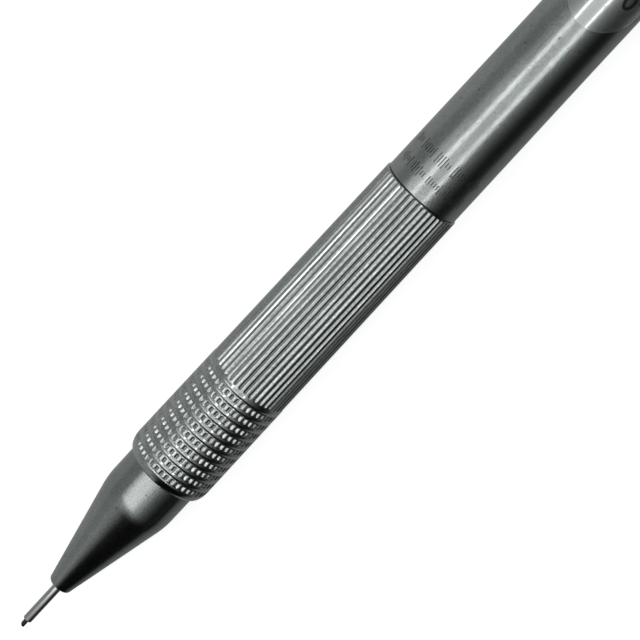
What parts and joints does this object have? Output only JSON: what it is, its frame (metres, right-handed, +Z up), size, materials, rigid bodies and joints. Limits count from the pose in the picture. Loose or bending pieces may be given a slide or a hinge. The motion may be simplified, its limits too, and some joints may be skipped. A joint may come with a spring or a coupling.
{
  "type": "mechanical pencil",
  "caption": "All-metal push-button mechanical pencil with conical nose, knurled and fluted grip, plain barrel, pocket clip and capped eraser.",
  "frame": {"origin": "on the pencil's axis at the mouth of the lead sleeve", "axes": "+X along the axis from the point to the push button; +Z up with the pencil lying on its side, rolled so that the clip touches the surface on the +Y side"},
  "size_m": [0.1423, 0.0107, 0.0088],
  "materials": {
    "graphite": "dark grey polymer graphite, faint sheen",
    "sleeve_steel": "drawn stainless tube, polished",
    "brass": "turned brass",
    "rubber": "soft black rubber",
    "cone_metal": "fine satin blasted metal",
    "grip_metal": "satin metal, knurled and fluted",
    "barrel_metal": "satin metal with a fine grain",
    "clip_steel": "polished sprung steel",
    "spring_steel": "bright drawn wire",
    "tube_metal": "drawn tube",
    "eraser_vinyl": "white vinyl",
    "button_metal": "satin metal, turned ribs",
    "label_film": "clear glossy film"
  },
  "bodies": {
    "barrel": {"barrel": "barrel_metal", "joint_bush": "brass", "clutch_housing": "brass", "chuck_spring": "spring_steel", "clip_ring": "clip_steel", "end_collar": "barrel_metal", "size_label": "label_film"},
    "grip": {"grip": "grip_metal"},
    "nose_cone": {"nose_cone": "cone_metal"},
    "lead_sleeve": {"lead_sleeve": "sleeve_steel", "sleeve_slider": "brass", "lead_retainer": "rubber"},
    "lead": {"lead": "graphite"},
    "feed_core": {"chuck": "brass", "tube_connector": "brass", "lead_tube": "tube_metal", "spare_leads": "graphite", "eraser_holder": "tube_metal", "eraser": "eraser_vinyl", "cleaning_needle": "spring_steel"},
    "clutch_ring": {"clutch_ring": "brass"},
    "push_button": {"push_button": "button_metal"},
    "clip": {"clip": "clip_steel"}
  },
  "joints": [
    {"name": "grip_turn", "type": "hinge", "parent": "barrel", "child": "grip", "pos_m": [0.0545, 0, 0], "axis": [1, 0, 0], "continuous": true},
    {"name": "cone_turn", "type": "hinge", "parent": "grip", "child": "nose_cone", "pos_m": [0.025, 0, 0], "axis": [1, 0, 0], "continuous": true},
    {"name": "sleeve_slide", "type": "slide", "parent": "nose_cone", "child": "lead_sleeve", "axis": [1, 0, 0], "range_m": [0, 0.0035]},
    {"name": "button_push", "type": "slide", "parent": "barrel", "child": "feed_core", "axis": [-1, 0, 0], "range_m": [0, 0.0025], "stiffness_N_per_m": 600, "springref_m": -0.003, "deforming": ["chuck_spring"]},
    {"name": "clutch_ring_slide", "type": "slide", "parent": "barrel", "child": "clutch_ring", "axis": [-1, 0, 0], "range_m": [0, 0.000625]},
    {"name": "lead_feed", "type": "slide", "parent": "barrel", "child": "lead", "axis": [-1, 0, 0], "range_m": [0, 0.000625]},
    {"name": "button_pull", "type": "slide", "parent": "feed_core", "child": "push_button", "axis": [1, 0, 0], "range_m": [0, 0.013]},
    {"name": "clip_flex", "type": "hinge", "parent": "barrel", "child": "clip", "pos_m": [0.119, 0.00371, -0.00181], "axis": [0, -0.4384, -0.8988], "range_deg": [0, 5], "stiffness_Nm_per_rad": 0.03}
  ],
  "couplings": [
    {"joint": "clutch_ring_slide", "follows": "button_push", "ratio": 0.25},
    {"joint": "lead_feed", "follows": "button_push", "ratio": 0.25}
  ]
}
